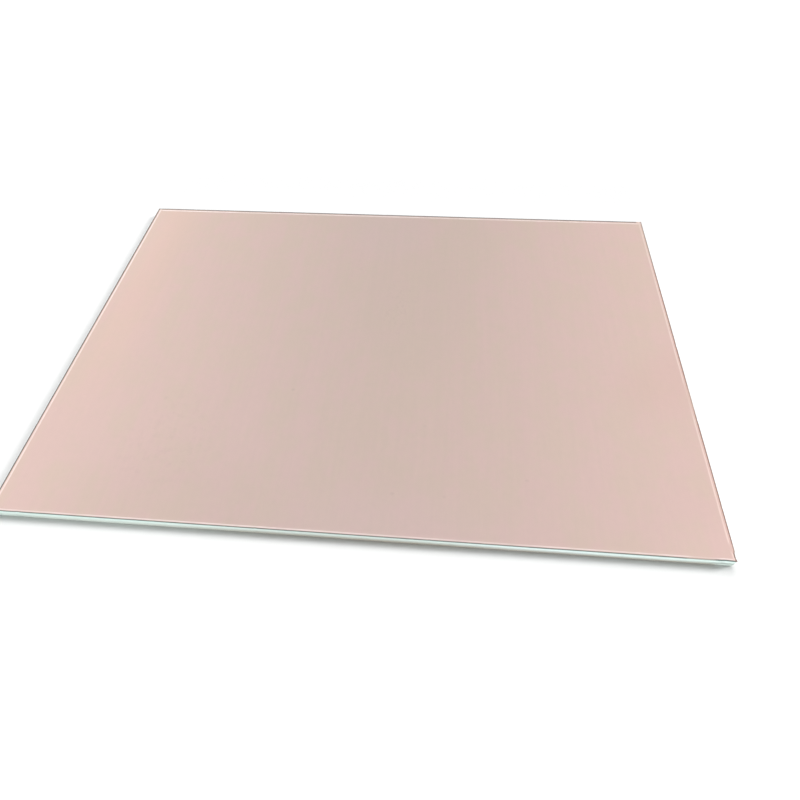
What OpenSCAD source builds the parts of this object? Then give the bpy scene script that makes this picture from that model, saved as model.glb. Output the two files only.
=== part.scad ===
// Copper clad board: a flat rectangular blank of glass-epoxy laminate with a
// sheet of copper foil bonded over its whole upper face. It lies flat on its
// bare face.
//
// Frame: origin at the centre of the underside, +X along the length to the
// right, +Y across the width to the back, +Z up out of the copper face.
// All sizes are millimetres.

/* [Board] */
// Length of the blank, left to right
board_length = 100; // [40:1:300]
// Width of the blank, front to back
board_width = 70; // [30:1:200]
// Finished thickness, laminate and foil together
board_thickness = 1.6; // [0.6:0.1:3.2]

/* [Copper foil] */
// Thickness of the foil: half-ounce, one-ounce or two-ounce copper
foil_thickness = 0.035; // [0.0175, 0.035, 0.07]

/* [Cut edges] */
// Radius that cutting and deburring leave on the four upright corners
corner_radius = 0.1; // [0.1:0.05:2]
// Width of the rim that the cut has rolled down, all round the upper face
rim_width = 0.3; // [0.1:0.05:0.6]
// Depth that this rim has dropped where it meets the cut edge
rim_drop = 0.06; // [0.02:0.01:0.1]

/* [Hidden] */
// Thickness of the laminate under the foil
core_thickness = board_thickness - foil_thickness;
// How far the cutting shapes run past the blank
overrun = 1;
// Drop of the rim for each millimetre of its width
rim_slope = rim_drop / rim_width;
// Facets of a corner arc
corner_fn = 48;

// Plan of the blank: a rectangle with its four corners just broken, drawn
// from squares and circles so that each corner is a true arc.
module outline() {
    square([board_length - 2 * corner_radius, board_width], center = true);
    square([board_length, board_width - 2 * corner_radius], center = true);
    for (x = [-1, 1], y = [-1, 1])
        translate([x * (board_length / 2 - corner_radius),
                   y * (board_width / 2 - corner_radius)])
            circle(r = corner_radius, $fn = corner_fn);
}

// Cross-section of everything under an upper face at height h, over a span:
// flat in the middle, with the rolled rim sloping down on both sides and
// running on past the cut edges.
function section_points(span, h) = [
    [-span / 2 - overrun, -overrun],
    [ span / 2 + overrun, -overrun],
    [ span / 2 + overrun, h - rim_drop - rim_slope * overrun],
    [ span / 2 - rim_width, h],
    [-span / 2 + rim_width, h],
    [-span / 2 - overrun, h - rim_drop - rim_slope * overrun]
];

// Solid of everything under an upper face at height h: the section over the
// length and the section over the width, where they meet. The rims of the
// two mitre at the corners.
module under_face(h) {
    intersection() {
        rotate([90, 0, 0])
            linear_extrude(height = board_width + 2 * overrun, center = true)
                polygon(section_points(board_length, h));
        rotate([90, 0, 90])
            linear_extrude(height = board_length + 2 * overrun, center = true)
                polygon(section_points(board_width, h));
    }
}

// The blank from the floor up to an upper face at height h
module blank(h) {
    intersection() {
        linear_extrude(height = h) outline();
        under_face(h);
    }
}

// Woven-glass and epoxy laminate: pale mint, bare on its underside and on
// its four cut edges
module laminate_core() {
    color([0.80, 0.92, 0.89]) blank(core_thickness);
}

// Copper foil: one sheet of even thickness, flush with the cut edges and
// following the laminate down over the rolled rim
module copper_foil() {
    color([0.87, 0.75, 0.71])
        difference() {
            blank(board_thickness);
            under_face(core_thickness);
        }
}

laminate_core();
copper_foil();
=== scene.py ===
import math

import bpy
import numpy as np
from mathutils import Matrix, Vector
from mathutils.geometry import delaunay_2d_cdt


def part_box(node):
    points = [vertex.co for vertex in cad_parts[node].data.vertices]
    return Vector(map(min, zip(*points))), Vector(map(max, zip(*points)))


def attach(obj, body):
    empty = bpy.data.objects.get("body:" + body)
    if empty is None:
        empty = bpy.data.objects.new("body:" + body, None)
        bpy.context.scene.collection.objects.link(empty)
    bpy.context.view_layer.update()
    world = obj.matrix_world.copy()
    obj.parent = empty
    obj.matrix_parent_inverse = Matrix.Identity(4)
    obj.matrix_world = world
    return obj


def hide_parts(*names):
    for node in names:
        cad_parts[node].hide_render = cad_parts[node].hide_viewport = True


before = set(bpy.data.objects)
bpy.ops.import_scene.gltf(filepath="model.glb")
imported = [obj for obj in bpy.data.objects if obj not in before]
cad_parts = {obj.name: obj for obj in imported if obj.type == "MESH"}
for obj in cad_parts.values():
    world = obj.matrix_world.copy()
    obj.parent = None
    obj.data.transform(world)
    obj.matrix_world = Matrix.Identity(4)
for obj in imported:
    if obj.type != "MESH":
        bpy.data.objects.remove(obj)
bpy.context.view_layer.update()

MM = 0.001

# ---------------------------------------------------------------- camera
# Looks down on the board from the front, a little to the right of its middle.
fw = Vector((-0.070355, 0.593620, -0.801664))
right = Vector((0.996201, 0.083166, -0.025844))
up = Vector((-0.051330, 0.800436, 0.597216))
cam_data = bpy.data.cameras.new("camera")
cam_data.sensor_fit = "HORIZONTAL"
cam_data.sensor_width = 36.0
cam_data.lens = 25.0610
cam_data.clip_start = 0.002
cam_data.clip_end = 50.0
cam = bpy.data.objects.new("camera", cam_data)
bpy.context.scene.collection.objects.link(cam)
m = Matrix((
    (right.x, up.x, -fw.x, 0.0115407),
    (right.y, up.y, -fw.y, -0.0638312),
    (right.z, up.z, -fw.z, 0.0693759 + 0.0016),
    (0, 0, 0, 1),
))
cam.matrix_world = m
bpy.context.scene.camera = cam

# ---------------------------------------------------------------- the board's sizes
low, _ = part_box("laminate_core")
_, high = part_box("copper_foil")
LX = (high.x - low.x) / MM          # length, mm
LY = (high.y - low.y) / MM          # width, mm
T = (high.z - low.z) / MM           # finished thickness, mm
FOIL = 0.035                        # copper foil, mm
R = 0.1                             # corner radius, mm

# Distance in from the cut edge and height, in mm: the copper rolls down over
# the cut, gently at first and steeply in the last few hundredths.
ROLL = [
    (0.000, -0.062), (0.006, -0.049), (0.018, -0.040), (0.045, -0.031),
    (0.085, -0.022), (0.135, -0.0145), (0.195, -0.0085), (0.265, -0.0045),
    (0.345, -0.0020), (0.440, -0.0006), (0.560, 0.0),
]


def smooth_noise(s, total, wave, seed):
    """Periodic smooth noise in -1..1 along an outline of length total, at about that wavelength."""
    n = max(4, int(round(total / wave)))
    r = np.random.RandomState(seed)
    v = r.uniform(-1, 1, n)
    u = (np.asarray(s) / total * n) % n
    i = np.floor(u).astype(int)
    f = u - i
    f = f * f * (3 - 2 * f)
    return v[i % n] * (1 - f) + v[(i + 1) % n] * f


NX, NY, NA = 400, 280, 8            # points along a long side, a short side and a corner arc


def ring(inset, radius):
    """Points of a rounded rectangle inset from the outline, counter-clockwise from the front left corner's end, in mm."""
    hx, hy = LX / 2 - inset, LY / 2 - inset
    pts = []
    corners = [((-1, -1), 180), ((1, -1), 270), ((1, 1), 0), ((-1, 1), 90)]
    for k, ((sx, sy), a0) in enumerate(corners):
        cx, cy = sx * (hx - radius), sy * (hy - radius)
        for j in range(NA + 1):
            a = math.radians(a0 + 90 * j / NA)
            pts.append((cx + radius * math.cos(a), cy + radius * math.sin(a)))
        (tx, ty), a1 = corners[(k + 1) % 4]
        ex, ey = tx * (hx - radius), ty * (hy - radius)
        a = math.radians(a1)
        ex, ey = ex + radius * math.cos(a), ey + radius * math.sin(a)
        n = NX if k % 2 == 0 else NY
        x0, y0 = pts[-1]
        for j in range(1, n):
            f = j / n
            pts.append((x0 + (ex - x0) * f, y0 + (ey - y0) * f))
    return np.array(pts)


OUT = ring(0.0, R)
N = len(OUT)
step = np.linalg.norm(np.roll(OUT, -1, 0) - OUT, axis=1)
S = np.concatenate([[0], np.cumsum(step)[:-1]])     # arc length at each point
TOTAL = float(step.sum())
tangent = np.roll(OUT, -1, 0) - np.roll(OUT, 1, 0)
tangent /= np.linalg.norm(tangent, axis=1)[:, None]
INWARD = np.stack([-tangent[:, 1], tangent[:, 0]], 1)

# How far the cut wanders in from a straight line, in mm: long and short waves
# and a few small nicks.
WANDER = 0.006 + 0.006 * smooth_noise(S, TOTAL, 9.0, 3)
WANDER += 0.005 * (1 + smooth_noise(S, TOTAL, 1.4, 5)) / 2
WANDER += 0.004 * (1 + smooth_noise(S, TOTAL, 0.5, 7)) / 2
_r = np.random.RandomState(11)
for _ in range(26):
    c, w, d = _r.uniform(0, TOTAL), _r.uniform(0.15, 0.5), _r.uniform(0.01, 0.045)
    WANDER += d * np.exp(-((S - c) / w) ** 2)
WANDER = np.clip(WANDER, 0.0, 0.07)


def step_up(v, a, b):
    f = np.clip((v - a) / (b - a), 0, 1)
    return f * f * (3 - 2 * f)


# the right side's last millimetre, by the front corner, is bruised in a little
WANDER += 0.11 * (OUT[:, 0] > LX / 2 - 0.02) * step_up(-OUT[:, 1], 33.6, 34.0) * step_up(OUT[:, 1], -34.95, -34.7)


def inner_radius(d):
    return max(R - 0.75 * d, 0.03)


def wander_at(d):
    """The cut's wander at a distance d in from it, where it has partly died out."""
    return WANDER * max(0.0, 1 - d / 0.4)


def rolled_ring(d):
    """The outline at a distance d in from the cut."""
    return ring(d, inner_radius(d)) + INWARD * wander_at(d)[:, None]


class Mesh:
    """Collects points and faces."""

    def __init__(self):
        self.v, self.f, self.w, self.n = [], [], [], 0

    def add(self, xy, z, wander=0.0):
        xy = np.asarray(xy, float)
        z = np.broadcast_to(np.asarray(z, float), (len(xy),))
        self.v.append(np.column_stack([xy, z]))
        self.w.append(np.broadcast_to(np.asarray(wander, float), (len(xy),)))
        first = self.n
        self.n += len(xy)
        return first

    def strip(self, a, b):
        """Faces between the ring of points that starts at a and the one at b, outward where b is above or inside a."""
        i = np.arange(N)
        j = (i + 1) % N
        self.f += np.column_stack([a + i, a + j, b + j, b + i]).tolist()

    def cap(self, first, xy, z, spacing, upward):
        """Closes a ring with well-shaped triangles over a field of inner points."""
        hx, hy = abs(xy[:, 0]).max(), abs(xy[:, 1]).max()
        gx = np.arange(-hx + spacing, hx - spacing / 2, spacing)
        gy = np.arange(-hy + spacing, hy - spacing / 2, spacing)
        inner = [(x + (0.5 * spacing if k % 2 else 0), y) for k, y in enumerate(gy) for x in gx
                 if abs(x + (0.5 * spacing if k % 2 else 0)) < hx - 0.4 * spacing]
        pts = [Vector(p) for p in xy.tolist()] + [Vector(p) for p in inner]
        edges = [(i, (i + 1) % N) for i in range(N)]
        vo, _e, fo, ov, _oe, _of = delaunay_2d_cdt(pts, edges, [], 1, 1e-7)
        index = {}
        extra_xy = []
        for k, src in enumerate(ov):
            ring_src = [s for s in src if s < N]
            if ring_src:
                index[k] = first + ring_src[0]
            else:
                index[k] = None
                extra_xy.append((k, vo[k].x, vo[k].y))
        start = self.add([(x, y) for _, x, y in extra_xy], z)
        for n_, (k, _x, _y) in enumerate(extra_xy):
            index[k] = start + n_
        for t in fo:
            a = [index[k] for k in t]
            p = [vo[k] for k in t]
            area = sum(p[i].x * p[(i + 1) % len(p)].y - p[(i + 1) % len(p)].x * p[i].y for i in range(len(p)))
            if (area > 0) != upward:
                a.reverse()
            self.f.append(a)

    def build(self, name):
        me = bpy.data.meshes.new(name)
        me.from_pydata((np.vstack(self.v) * MM).tolist(), [], self.f)
        me.update()
        me.validate()
        # how far each point was moved in with the cut, in mm, for the material
        moved = me.attributes.new("cut_wander", "FLOAT", "POINT")
        moved.data.foreach_set("value", np.concatenate(self.w).astype(np.float32))
        ob = bpy.data.objects.new(name, me)
        bpy.context.scene.collection.objects.link(ob)
        return ob


# ---------------------------------------------------------------- copper foil
def make_foil():
    k = Mesh()
    rings = [rolled_ring(d) for d, _ in ROLL]
    under = [k.add(xy, T - FOIL + z, wander_at(d)) for xy, (d, z) in zip(rings, ROLL)]
    over = [k.add(xy, T + z, wander_at(d)) for xy, (d, z) in zip(rings, ROLL)]
    k.strip(under[0], over[0])                      # cut edge of the foil
    for a, b in zip(over, over[1:]):
        k.strip(a, b)                               # rolled rim and face
    for a, b in zip(under, under[1:]):
        k.strip(b, a)                               # bonded side
    k.cap(over[-1], rings[-1], T, 2.0, True)
    k.cap(under[-1], rings[-1], T - FOIL, 4.0, False)
    return k.build("copper_foil_detailed")


# ---------------------------------------------------------------- laminate
PLIES = 8


def make_core():
    k = Mesh()
    rings = [rolled_ring(d) for d, _ in ROLL]
    top = [k.add(xy, T - FOIL + z) for xy, (_, z) in zip(rings, ROLL)]
    for a, b in zip(top, top[1:]):
        k.strip(a, b)
    k.cap(top[-1], rings[-1], T - FOIL, 4.0, True)
    z_top = T - FOIL + ROLL[0][1]
    # rows of the cut edge, from the foot up: the broken lower edge, then each
    # ply as a low ridge of glass with a groove of resin between it and the next
    rows = [(0.0, 0.055), (0.008, 0.026), (0.026, 0.008), (0.055, 0.0)]
    pitch = (z_top - 0.055) / PLIES
    for p in range(PLIES):
        z0 = 0.055 + pitch * p
        for f, g in ((0.14, 0.35), (0.32, 0.0), (0.68, 0.0), (0.86, 0.35), (1.0, 1.0)):
            if p == PLIES - 1 and f == 1.0:
                continue
            rows.append((z0 + pitch * f, -g))
    ids = []
    for z, g in rows:
        if g >= 0:                                   # broken lower edge
            off = WANDER + g + 0.01 * (1 + smooth_noise(S, TOTAL, 0.8, 21)) / 2 * (g > 0)
        else:
            off = WANDER - g * 0.014
        if 0.055 < z:
            p = int((z - 0.055) / pitch)
            # bundles of glass cut through stand a few microns proud
            off = off + 0.006 * (1 + smooth_noise(S, TOTAL, 0.62 if p % 2 else 0.85, 40 + p)) / 2
            off = off + 0.002 * (1 + smooth_noise(S, TOTAL, 0.25, 60 + len(ids))) / 2
        ids.append(k.add(OUT + INWARD * off[:, None], z))
    for a, b in zip(ids, ids[1:]):
        k.strip(a, b)
    k.strip(ids[-1], top[0])
    foot = OUT + INWARD * (WANDER + 0.055 + 0.01 * (1 + smooth_noise(S, TOTAL, 0.8, 21)) / 2)[:, None]
    k.cap(ids[0], foot, 0.0, 4.0, False)
    return k.build("laminate_core_detailed")


foil = make_foil()
core = make_core()


# ---------------------------------------------------------------- shader helpers
class Nodes:
    def __init__(self, name):
        self.mat = bpy.data.materials.new(name)
        self.mat.use_nodes = True
        self.t = self.mat.node_tree
        self.t.nodes.clear()
        self.out = self.t.nodes.new("ShaderNodeOutputMaterial")
        self.bsdf = self.t.nodes.new("ShaderNodeBsdfPrincipled")
        self.t.links.new(self.bsdf.outputs[0], self.out.inputs[0])
        co = self.t.nodes.new("ShaderNodeTexCoord")
        scale = self.t.nodes.new("ShaderNodeVectorMath")
        scale.operation = "SCALE"
        scale.inputs["Scale"].default_value = 1000.0
        self.t.links.new(co.outputs["Object"], scale.inputs[0])
        self.mm = scale.outputs[0]                   # place on the board in mm
        sep = self.t.nodes.new("ShaderNodeSeparateXYZ")
        self.t.links.new(self.mm, sep.inputs[0])
        self.x, self.y, self.z = sep.outputs

    def link(self, value, socket):
        if hasattr(value, "links"):
            self.t.links.new(value, socket)
        else:
            socket.default_value = value

    def math(self, op, a, b=0.0, c=0.0, clamp=False):
        n = self.t.nodes.new("ShaderNodeMath")
        n.operation = op
        n.use_clamp = clamp
        for v, s in zip((a, b, c), n.inputs):
            self.link(v, s)
        return n.outputs[0]

    def vec(self, x, y, z):
        n = self.t.nodes.new("ShaderNodeCombineXYZ")
        for v, s in zip((x, y, z), n.inputs):
            self.link(v, s)
        return n.outputs[0]

    def noise(self, vector, scale=1.0, detail=2.0, rough=0.5, kind="FBM"):
        n = self.t.nodes.new("ShaderNodeTexNoise")
        n.noise_type = kind
        n.inputs["Scale"].default_value = scale
        n.inputs["Detail"].default_value = detail
        n.inputs["Roughness"].default_value = rough
        self.t.links.new(vector, n.inputs["Vector"])
        return n.outputs[0]

    def band(self, value, x0, x1, y0=0.0, y1=1.0, smooth=True):
        """value from x0..x1 to y0..y1, held at the ends."""
        n = self.t.nodes.new("ShaderNodeMapRange")
        n.interpolation_type = "SMOOTHSTEP" if smooth else "LINEAR"
        self.link(value, n.inputs[0])
        for i, v in enumerate((x0, x1, y0, y1), 1):
            n.inputs[i].default_value = v
        return n.outputs[0]

    def mix(self, fac, a, b):
        n = self.t.nodes.new("ShaderNodeMix")
        n.data_type = "RGBA"
        self.link(fac, n.inputs[0])
        for v, s in ((a, n.inputs[6]), (b, n.inputs[7])):
            if hasattr(v, "links"):
                self.t.links.new(v, s)
            else:
                s.default_value = (*v, 1.0)
        return n.outputs[2]

    def gain(self, colour, factor):
        """colour times a number."""
        n = self.t.nodes.new("ShaderNodeVectorMath")
        n.operation = "SCALE"
        self.t.links.new(colour, n.inputs[0])
        self.link(factor, n.inputs["Scale"])
        return n.outputs[0]

    def bump(self, height, strength, distance, normal=None):
        n = self.t.nodes.new("ShaderNodeBump")
        n.inputs["Strength"].default_value = strength
        n.inputs["Distance"].default_value = distance
        self.link(height, n.inputs["Height"])
        if normal is not None:
            self.t.links.new(normal, n.inputs["Normal"])
        return n.outputs[0]


# ---------------------------------------------------------------- copper
def copper_material():
    k = Nodes("bare_copper")
    # slight unevenness of the rim, so that its line isn't ruled
    wob = k.math("MULTIPLY", k.math("SUBTRACT", k.noise(k.mm, 0.35, 2.0), 0.5), 0.04)

    def near(value, centre, full, gone, peak=1.0):
        """peak where value is within full of centre, and 0 past gone."""
        return k.band(k.math("ABSOLUTE", k.math("SUBTRACT", value, centre)), full, gone, peak, 0.0)

    # distances in from each cut, which wanders a little
    attr = k.t.nodes.new("ShaderNodeAttribute")
    attr.attribute_name = "cut_wander"
    moved = attr.outputs["Fac"]
    front_side = k.math("SUBTRACT", k.math("ADD", k.y, LY / 2), moved)
    right_side = k.math("SUBTRACT", k.math("SUBTRACT", LX / 2, k.x), moved)
    back_side = k.math("SUBTRACT", k.math("SUBTRACT", LY / 2, k.y), moved)
    left_side = k.math("SUBTRACT", k.math("ADD", k.x, LX / 2), moved)

    # the lip and the rim's painted highlight lie a little differently on each side.
    # The right side's lip is wider in the last millimetre by the front corner, where
    # the cut is bruised, and fades for a millimetre before it; the left side's is wider towards the back
    corner = k.band(k.y, -33.75, -34.05)
    front_lip = k.math("SUBTRACT", front_side, k.band(k.x, 46.3, 47.3, 0.0, 0.03))
    right_side = k.math("ADD", right_side, k.band(k.y, -14.0, -24.0, 0.0, 0.03))
    right_lip = k.math("SUBTRACT", right_side, k.math("MULTIPLY", corner, 0.10))
    right_rim = k.math("ADD", right_side, k.math("MULTIPLY", corner, 0.10))
    left_side = k.math("SUBTRACT", left_side, k.band(k.y, -20.0, 25.0, 0.0, 0.08))
    # how strong the dark lip and the rim's painted highlight are along each side, with breaks in the highlight
    rim_highlight_noise = k.band(k.noise(k.vec(k.math("MULTIPLY", k.x, 0.33), k.math("MULTIPLY", k.y, 0.33), 2.0), 1.0, 2.0, 0.6),
                  0.36, 0.60, 0.80, 1.08)
    fades = near(k.y, -33.2, 0.30, 0.85)
    faint = near(k.y, -9.5, 1.3, 4.2)
    lip_front = k.math("SUBTRACT", k.band(k.x, 46.4, 47.6, 0.92, 1.0), near(k.x, 45.6, 1.4, 2.1, 0.42))
    lip_right = k.math("ADD", k.band(k.y, 18.0, 24.0, 0.90, 0.78), k.math("MULTIPLY", corner, -0.06))
    lip_right = k.math("SUBTRACT", lip_right, k.math("ADD", k.math("MULTIPLY", fades, 0.25), k.math("MULTIPLY", faint, 0.36)))
    lip_back = k.math("SUBTRACT", 0.92, near(k.x, 49.35, 0.28, 0.50, 0.85))
    lip_left = k.math("SUBTRACT", k.band(k.y, -8.0, 6.0, 0.90, 0.81), k.band(k.y, 28.0, 32.0, 0.0, 0.08))
    rim_front = k.math("SUBTRACT", k.band(k.x, -4.0, 1.0, 0.66, 0.50), near(k.x, 17.5, 4.5, 8.0, 0.06))
    rim_front = k.math("SUBTRACT", rim_front, near(k.x, 46.0, 1.1, 2.1, 0.34))
    rim_front = k.math("ADD", rim_front, k.band(k.x, 23.0, 30.0, 0.0, 0.11))
    rim_front = k.math("ADD", rim_front, k.band(k.x, 47.5, 48.5, 0.0, 0.22))
    rim_right = k.math("ADD", k.band(k.y, -14.0, -20.0, 0.46, 0.60), k.math("MULTIPLY", corner, 0.35))
    rim_right = k.math("SUBTRACT", rim_right, k.math("ADD", k.math("MULTIPLY", fades, 0.54), k.math("MULTIPLY", faint, 0.32)))
    rim_back = k.math("SUBTRACT", k.band(k.x, -31.0, -44.0, 0.78, 1.70), k.band(k.x, -48.7, -49.2, 0.0, 1.25))
    rim_left = k.band(k.y, -2.0, 18.0, 0.84, 1.04)
    # distances in from the cut, in mm, where the dull lip starts to end and
    # has ended, and where the rim's painted highlight starts, is full, fades and is gone
    sides = (
        (front_lip, 0.050, 0.105, lip_front, front_side, 0.12, 0.19, 0.28, 0.37, rim_front),
        (right_lip, 0.160, 0.240, lip_right, right_rim, 0.38, 0.47, 0.56, 0.70, rim_right),
        (back_side, 0.280, 0.380, lip_back, back_side, 0.52, 0.68, 0.76, 0.90, rim_back),
        (left_side, 0.200, 0.260, lip_left, left_side, 0.35, 0.45, 0.57, 0.70, rim_left),
    )
    rim, lip = 0.0, 0.0
    for dist, l0, l1, dark, dist_rim, r0, r1, r2, r3, bright in sides:
        dist = k.math("ADD", dist, wob)
        dist_rim = k.math("ADD", dist_rim, wob)
        this = k.math("MULTIPLY", k.band(dist_rim, r0, r1), k.band(dist_rim, r2, r3, 1.0, 0.0))
        this = k.math("MULTIPLY", k.math("MULTIPLY", this, bright), rim_highlight_noise)
        rim = k.math("MAXIMUM", rim, this)
        lip = k.math("MAXIMUM", lip, k.math("MULTIPLY", k.band(dist, l0, l1, 1.0, 0.0), dark))
    rim = k.math("MINIMUM", rim, 1.0)
    # the dark lip of the cut is partly painted shade along the outline: brown on the
    # right side, tinged green in front, and grey on the others
    lip_colour = k.mix(k.band(front_side, 0.26, 0.34, 1.0, 0.0), (0.100, 0.101, 0.098), (0.100, 0.135, 0.128))
    brown_shade = k.mix(k.math("MAXIMUM", k.band(k.y, 18.0, 24.0), k.math("MULTIPLY", corner, 0.8)), (0.196, 0.078, 0.052), (0.170, 0.105, 0.085))
    lip_colour = k.mix(k.band(right_lip, 0.26, 0.34, 1.0, 0.0), lip_colour, brown_shade)
    # the rim's painted highlight is nearly white in front and behind, and keeps
    # more of the copper's own colour at the sides
    rosy = k.mix(k.band(k.y, -14.0, -20.0), (0.965, 0.810, 0.750), (0.950, 0.755, 0.685))
    pale_highlight = k.mix(k.band(k.y, 0.0, 15.0), (0.948, 0.785, 0.737), (0.957, 0.818, 0.777))
    rim_highlight_colour = k.mix(k.band(right_rim, 0.72, 0.80, 1.0, 0.0), (0.960, 0.830, 0.792), rosy)
    rim_highlight_colour = k.mix(k.band(left_side, 0.72, 0.80, 1.0, 0.0), rim_highlight_colour, pale_highlight)

    face = (0.796, 0.600, 0.541)
    beige = (0.774, 0.610, 0.522)
    warm = (0.770, 0.570, 0.500)

    def blot(cx, cy, rx, ry, soft=0.5):
        """1 in the middle of an ellipse, and 0 at its rim."""
        dx = k.math("DIVIDE", k.math("SUBTRACT", k.x, cx), rx)
        dy = k.math("DIVIDE", k.math("SUBTRACT", k.y, cy), ry)
        r = k.math("SQRT", k.math("ADD", k.math("MULTIPLY", dx, dx), k.math("MULTIPLY", dy, dy)))
        return k.band(r, 1.0 - soft, 1.0, 1.0, 0.0)

    # broad cast of the metal, pink to beige, in patches of some millimetres
    # and in bands along the way it was rolled
    bands = k.noise(k.vec(k.math("MULTIPLY", k.x, 0.26), k.math("MULTIPLY", k.y, 0.018), 6.0), 1.0, 3.0, 0.6)
    patch = k.math("ADD", k.math("MULTIPLY", k.noise(k.mm, 0.20, 4.0, 0.6), 0.6), k.math("MULTIPLY", bands, 0.4))
    colour = k.mix(k.band(patch, 0.40, 0.60), face, beige)
    # a darker beige patch above the middle, painted as a dimmer reflection there, and a rosier patch behind it
    dim_reflection_patch = k.math("MAXIMUM", blot(6.0, 9.0, 12.5, 18.0, 0.35), blot(15.0, 25.0, 7.0, 14.0, 0.5))
    colour = k.mix(k.math("MULTIPLY", dim_reflection_patch, 0.5), colour, (0.762, 0.603, 0.518))
    colour = k.mix(k.math("MULTIPLY", blot(0.0, 30.0, 10.0, 12.0, 0.6), 0.5), colour, (0.782, 0.600, 0.553))
    # a redder cast towards the left end, and a rosier one in front of the middle
    left_end = k.math("SUBTRACT", k.band(k.x, -37.0, -44.5, 0.0, 0.5), k.band(k.x, -46.0, -48.8, 0.0, 0.4))
    left_end = k.math("MULTIPLY", left_end, k.band(k.y, -26.0, 5.0, 0.0, 1.0))
    colour = k.mix(left_end, colour, (0.850, 0.620, 0.537))
    colour = k.mix(k.math("MULTIPLY", blot(6.0, -36.0, 22.0, 11.0, 0.7), 0.5), colour, (0.802, 0.606, 0.562))
    # faint warm stain at the middle of the right-hand side
    u = k.math("ADD", k.math("MULTIPLY", k.x, 0.78), k.math("MULTIPLY", k.y, 0.62))
    v = k.math("SUBTRACT", k.math("MULTIPLY", k.y, 0.78), k.math("MULTIPLY", k.x, 0.62))
    stain = k.math("MULTIPLY", k.band(k.math("ABSOLUTE", k.math("ADD", v, 34.0)), 1.0, 8.0, 1.0, 0.0),
                   k.band(u, 20.0, 30.0))
    colour = k.mix(k.math("MULTIPLY", stain, 0.5), colour, warm)
    # rolling streaks from front to back and a fine mottle
    streak = k.noise(k.vec(k.math("MULTIPLY", k.x, 1.3), k.math("MULTIPLY", k.y, 0.035), 3.0), 1.0, 4.0, 0.65)
    fine = k.noise(k.vec(k.math("MULTIPLY", k.x, 7.0), k.math("MULTIPLY", k.y, 0.30), 9.0), 1.0, 3.0, 0.6)
    mottle = k.noise(k.mm, 1.1, 4.0, 0.6)
    tone = k.math("ADD", 1.0, k.math("MULTIPLY", k.math("SUBTRACT", streak, 0.5), 0.040))
    tone = k.math("ADD", tone, k.math("MULTIPLY", k.math("SUBTRACT", mottle, 0.5), 0.045))
    tone = k.math("ADD", tone, k.math("MULTIPLY", k.math("SUBTRACT", fine, 0.5), 0.02))
    # handling marks: fine dark speckles in two clusters, and a few lone specks
    dots = k.band(k.noise(k.mm, 1.5, 2.0, 0.6), 0.57, 0.66)
    marks = k.math("MULTIPLY", k.math("MULTIPLY", dots, blot(4.0, 8.0, 4.5, 8.5, 0.6)), 0.030)
    smudge = k.band(k.noise(k.mm, 0.85, 4.0, 0.65), 0.50, 0.66)
    marks = k.math("ADD", marks, k.math("MULTIPLY", k.math("MULTIPLY", smudge, blot(-29.0, -22.0, 11.0, 13.0, 0.7)), 0.024))
    for cx, cy, size, depth in ((-11.6, -11.5, 0.34, 0.060), (5.7, -28.6, 0.36, 0.055), (12.9, -28.6, 0.30, 0.040),
                                (24.3, -25.3, 0.34, 0.050), (9.6, -17.1, 0.30, 0.035), (-31.5, -14.4, 0.40, 0.030)):
        marks = k.math("ADD", marks, k.math("MULTIPLY", blot(cx, cy, size * 1.3, size, 0.8), depth))
    tone = k.math("SUBTRACT", tone, marks)
    # painted reflection: the face is a little brighter by the back left and front right corners, and darker along the
    # front on the left
    tone = k.math("ADD", tone, k.math("MULTIPLY", blot(-53.0, 27.0, 11.0, 30.0, 0.8), 0.045))
    tone = k.math("SUBTRACT", tone, k.math("MULTIPLY", blot(-26.0, -34.0, 24.0, 16.0, 0.8), 0.030))
    tone = k.math("ADD", tone, k.math("MULTIPLY", blot(49.0, -36.0, 11.0, 9.0, 0.8), 0.025))
    colour = k.gain(colour, tone)

    # the rim's painted highlight, and the dark lip of the cut, which is partly painted shade
    colour = k.mix(rim, colour, rim_highlight_colour)
    colour = k.mix(lip, colour, lip_colour)
    k.link(colour, k.bsdf.inputs["Base Color"])
    # the rim is made partly matt so that the lamps add to its painted highlight, and the lip is matt
    metal = k.math("SUBTRACT", 1.0, k.math("MULTIPLY", rim, 0.6))
    k.link(k.math("MULTIPLY", metal, k.math("SUBTRACT", 1.0, lip)), k.bsdf.inputs["Metallic"])

    rough = k.math("ADD", 0.40, k.math("MULTIPLY", k.math("SUBTRACT", streak, 0.5), 0.06))
    rough = k.math("ADD", rough, k.math("MULTIPLY", k.math("SUBTRACT", mottle, 0.5), 0.06))
    rough = k.math("ADD", rough, k.math("MULTIPLY", lip, 0.45))
    k.link(rough, k.bsdf.inputs["Roughness"])
    n1 = k.bump(fine, 0.05, 0.00002)
    n2 = k.bump(mottle, 0.05, 0.00006, n1)
    k.link(n2, k.bsdf.inputs["Normal"])
    return k.mat


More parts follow.
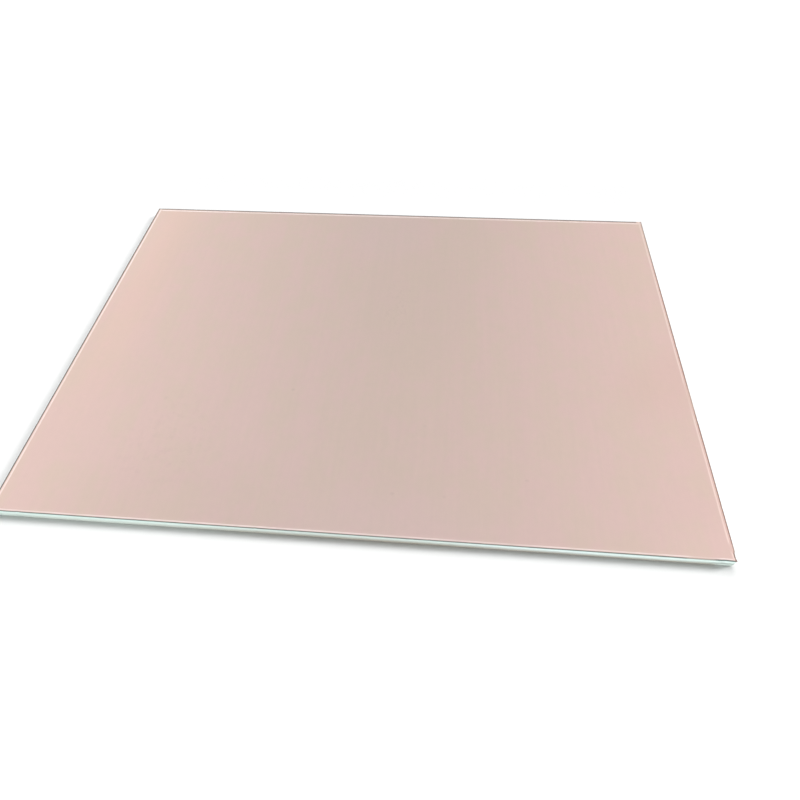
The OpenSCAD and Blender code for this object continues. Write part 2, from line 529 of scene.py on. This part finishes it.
# ---------------------------------------------------------------- laminate
def laminate_material():
    k = Nodes("glass_epoxy")
    s = k.math("ADD", k.x, k.y)                      # runs along any of the cut edges
    wall_n = k.t.nodes.new("ShaderNodeNewGeometry")
    sep = k.t.nodes.new("ShaderNodeSeparateXYZ")
    k.t.links.new(wall_n.outputs["Normal"], sep.inputs[0])
    wall = k.band(k.math("ABSOLUTE", sep.outputs[2]), 0.55, 0.85, 1.0, 0.0)

    pitch = (T - FOIL + ROLL[0][1] - 0.055) / PLIES
    ply = k.math("DIVIDE", k.math("SUBTRACT", k.z, 0.055), pitch)
    inside = k.math("FRACT", ply)
    resin = k.band(k.math("ABSOLUTE", k.math("SUBTRACT", inside, 0.5)), 0.30, 0.48)
    row = k.math("FLOOR", ply)
    bundle = k.noise(k.vec(k.math("MULTIPLY", s, 1.35), k.math("MULTIPLY", row, 7.3), 0.0), 1.0, 2.0, 0.5)
    drift = k.noise(k.vec(k.math("MULTIPLY", s, 0.22), k.math("MULTIPLY", row, 0.4), 5.0), 1.0, 3.0, 0.6)
    saw = k.noise(k.vec(k.math("MULTIPLY", s, 9.0), k.math("MULTIPLY", k.z, 1.5), 2.0), 1.0, 3.0, 0.6)

    glass = (0.622, 0.742, 0.702)
    epoxy = (0.500, 0.650, 0.600)
    colour = k.mix(k.math("MULTIPLY", resin, 0.55), glass, epoxy)
    tone = k.math("ADD", 1.0, k.math("MULTIPLY", k.math("SUBTRACT", bundle, 0.5), 0.16))
    tone = k.math("ADD", tone, k.math("MULTIPLY", k.math("SUBTRACT", drift, 0.5), 0.12))
    tone = k.math("ADD", tone, k.math("MULTIPLY", k.math("SUBTRACT", saw, 0.5), 0.08))
    tone = k.math("MINIMUM", tone, 1.03)
    colour = k.gain(colour, tone)
    # a dark line just under the foil; painted shade greying the wall towards the
    # foot; and dust greying it a little along the middle of the length
    dark_under_foil = k.band(k.z, 1.31, 1.46)
    clean = k.math("SUBTRACT", k.band(k.x, 13.0, 21.0, 0.0, 0.21), k.band(k.x, 29.0, 36.0, 0.0, 0.11))
    clean = k.math("SUBTRACT", clean, k.band(k.x, 42.0, 44.8, 0.0, 0.10))
    colour = k.mix(clean, colour, (0.740, 0.840, 0.900))
    colour = k.mix(dark_under_foil, colour, (0.185, 0.262, 0.248))
    colour = k.mix(k.band(k.x, -30.0, -18.0, 0.12, 0.0), colour, (0.336, 0.526, 0.477))
    dull = k.band(k.math("ABSOLUTE", k.math("ADD", k.x, 1.0)), 9.0, 24.0, 0.28, 0.0)
    colour = k.mix(dull, colour, (0.36, 0.38, 0.35))
    # towards the right-hand end two plies show in the lower half, one dull and one bright
    end = k.band(k.x, 46.2, 48.6)
    dull_ply = k.math("MULTIPLY", k.band(k.math("ABSOLUTE", k.math("SUBTRACT", k.z, 0.62)), 0.11, 0.23, 0.78, 0.0), end)
    dull_ply = k.math("MULTIPLY", dull_ply, k.band(k.y, -34.0, -22.0, 1.0, 0.22))
    # painted shade: the wall is darker towards the foot, tinged warm as painted bounce light
    foot = k.band(k.math("MULTIPLY", k.z, k.band(k.x, 24.0, 38.0, 1.0, 1.22)), 0.0, 1.15, 1.0, 0.0, False)
    more = k.band(k.x, -6.0, 2.0, 0.0, 0.10)
    foot = k.math("MULTIPLY", foot, k.math("ADD", k.band(k.x, -34.0, -8.0, 0.36, 0.80), more))
    foot = k.math("MULTIPLY", foot, k.band(k.x, 46.9, 48.7, 1.0, 0.38))
    # the painted foot shade is pinker at the left end
    rosy = k.math("MULTIPLY", k.band(k.x, -48.0, -41.0), k.band(k.x, -29.0, -18.0, 1.0, 0.0))
    painted_foot_shade = k.mix(rosy, (0.224, 0.162, 0.120), (0.320, 0.192, 0.146))
    colour = k.mix(foot, colour, painted_foot_shade)
    colour = k.mix(dull_ply, colour, (0.230, 0.285, 0.260))

    # bare underside: the cloth's plain weave shows through the resin
    wx = k.math("SINE", k.math("MULTIPLY", k.x, math.pi / 0.58))
    wy = k.math("SINE", k.math("MULTIPLY", k.y, math.pi / 0.82))
    weave = k.math("MULTIPLY", wx, wy)
    cloth = k.noise(k.mm, 0.5, 3.0, 0.6)
    face = k.mix(k.band(weave, -0.8, 0.8), (0.60, 0.80, 0.73), (0.66, 0.86, 0.79))
    face = k.gain(face, k.math("ADD", 0.96, k.math("MULTIPLY", cloth, 0.08)))
    k.link(k.mix(wall, face, colour), k.bsdf.inputs["Base Color"])

    rough = k.math("ADD", 0.42, k.math("MULTIPLY", wall, 0.20))
    rough = k.math("ADD", rough, k.math("MULTIPLY", k.math("SUBTRACT", saw, 0.5), 0.12))
    k.link(rough, k.bsdf.inputs["Roughness"])
    k.bsdf.inputs["Metallic"].default_value = 0.0
    k.bsdf.inputs["IOR"].default_value = 1.52
    height = k.math("ADD", k.math("MULTIPLY", k.math("MULTIPLY", saw, wall), 0.8),
                    k.math("MULTIPLY", k.math("MULTIPLY", weave, k.math("SUBTRACT", 1.0, wall)), 0.5))
    k.link(k.bump(height, 0.35, 0.00002), k.bsdf.inputs["Normal"])
    return k.mat


foil.data.materials.append(copper_material())
core.data.materials.append(laminate_material())
for ob in (foil, core):
    for poly in ob.data.polygons:
        poly.use_smooth = True
    ob.data.set_sharp_from_angle(angle=math.radians(40))

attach(foil, "root")
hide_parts("copper_foil")
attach(core, "root")
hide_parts("laminate_core")

# ---------------------------------------------------------------- floor
me = bpy.data.meshes.new("floor")
me.from_pydata([(-6, -6, 0), (6, -6, 0), (6, 6, 0), (-6, 6, 0)], [], [(0, 1, 2, 3)])
floor = bpy.data.objects.new("floor", me)
bpy.context.scene.collection.objects.link(floor)
floor.location = (0, 0, -0.00001)
fm = bpy.data.materials.new("floor_white")
fm.use_nodes = True
p = fm.node_tree.nodes["Principled BSDF"]
p.inputs["Base Color"].default_value = (0.918, 0.918, 0.918, 1)
p.inputs["Roughness"].default_value = 1.0
p.inputs["Specular IOR Level"].default_value = 0.0
me.materials.append(fm)

# ---------------------------------------------------------------- light
# A tent of soft light: dimmest along a strip overhead that runs from front to
# back, and brighter towards both side walls. Matt surfaces get a weaker share
# of it, so that the key's soft shadow shows.
world = bpy.data.worlds.new("studio")
bpy.context.scene.world = world
world.use_nodes = True
wt = world.node_tree
wt.nodes.clear()


def wmath(op, a, b=0.0, c=0.0, clamp=False):
    n = wt.nodes.new("ShaderNodeMath")
    n.operation = op
    n.use_clamp = clamp
    for v_, s_ in zip((a, b, c), n.inputs):
        if hasattr(v_, "links"):
            wt.links.new(v_, s_)
        else:
            s_.default_value = v_
    return n.outputs[0]


wco = wt.nodes.new("ShaderNodeTexCoord")
wsep = wt.nodes.new("ShaderNodeSeparateXYZ")
wt.links.new(wco.outputs["Generated"], wsep.inputs[0])
wx_, wy_, wz_ = wsep.outputs
# how far a direction leans out of the strip, to the right and to the left
side = wmath("SQRT", wmath("ADD", wmath("ADD", wmath("MULTIPLY", wx_, wx_), wmath("MULTIPLY", wz_, wz_)), 1e-3))
off = wmath("DIVIDE", wx_, side)
rightward = wmath("MINIMUM", wmath("MAXIMUM", off, 0.0), 0.92)
leftward = wmath("MINIMUM", wmath("MAXIMUM", wmath("MULTIPLY", off, -1.0), 0.0), 0.92)
over = wmath("MAXIMUM", wz_, 0.0)
tent = []
# for red, green and blue: the strip's own level, what is added straight
# overhead, and a linear and a square rise to the right and to the left
for base, top, r1, r2, l1, l2 in ((0.656, 0.123, 0.259, 0.430, -0.340, 1.167),
                                  (0.729, 0.056, 0.270, 0.200, -0.257, 0.944),
                                  (0.700, 0.096, 0.452, -0.045, -0.066, 0.705)):
    level = wmath("ADD", base, wmath("MULTIPLY", over, top))
    for lean, first, second in ((rightward, r1, r2), (leftward, l1, l2)):
        level = wmath("ADD", level, wmath("MULTIPLY", lean, wmath("ADD", first, wmath("MULTIPLY", lean, second))))
    tent.append(level)
comb = wt.nodes.new("ShaderNodeCombineXYZ")
for v_, s_ in zip(tent, comb.inputs):
    wt.links.new(v_, s_)
path = wt.nodes.new("ShaderNodeLightPath")
mix1 = wt.nodes.new("ShaderNodeMix")
mix1.data_type = "RGBA"
wt.links.new(path.outputs["Is Glossy Ray"], mix1.inputs[0])
mix1.inputs[6].default_value = (0.09, 0.09, 0.09, 1)
wt.links.new(comb.outputs[0], mix1.inputs[7])
mix2 = wt.nodes.new("ShaderNodeMix")
mix2.data_type = "RGBA"
wt.links.new(path.outputs["Is Camera Ray"], mix2.inputs[0])
wt.links.new(mix1.outputs[2], mix2.inputs[6])
mix2.inputs[7].default_value = (1.0, 1.0, 1.0, 1)
bg = wt.nodes.new("ShaderNodeBackground")
wt.links.new(mix2.outputs[2], bg.inputs[0])
wo = wt.nodes.new("ShaderNodeOutputWorld")
wt.links.new(bg.outputs[0], wo.inputs[0])


def sun(name, azimuth, elevation, strength, angle, colour=(1, 1, 1)):
    """A sun that shines from that azimuth, in degrees anticlockwise from +X, and elevation."""
    data = bpy.data.lights.new(name, "SUN")
    data.energy = strength
    data.angle = math.radians(angle)
    data.color = colour
    ob = bpy.data.objects.new(name, data)
    bpy.context.scene.collection.objects.link(ob)
    a, e = math.radians(azimuth), math.radians(elevation)
    to = Vector((math.cos(e) * math.cos(a), math.cos(e) * math.sin(a), math.sin(e)))
    ob.rotation_euler = to.to_track_quat("Z", "Y").to_euler()
    ob.visible_glossy = False
    return ob


sun("key", 96, 57.8, 2.56, 55)
sun("side_key", 20, 32, 1.84, 15)
sun("front_fill", 264, 3.4, 2.7, 5, (1.0, 0.985, 0.985))

scene = bpy.context.scene
scene.view_settings.view_transform = "Standard"
scene.view_settings.look = "None"
scene.view_settings.exposure = 0.0
scene.view_settings.gamma = 1.0
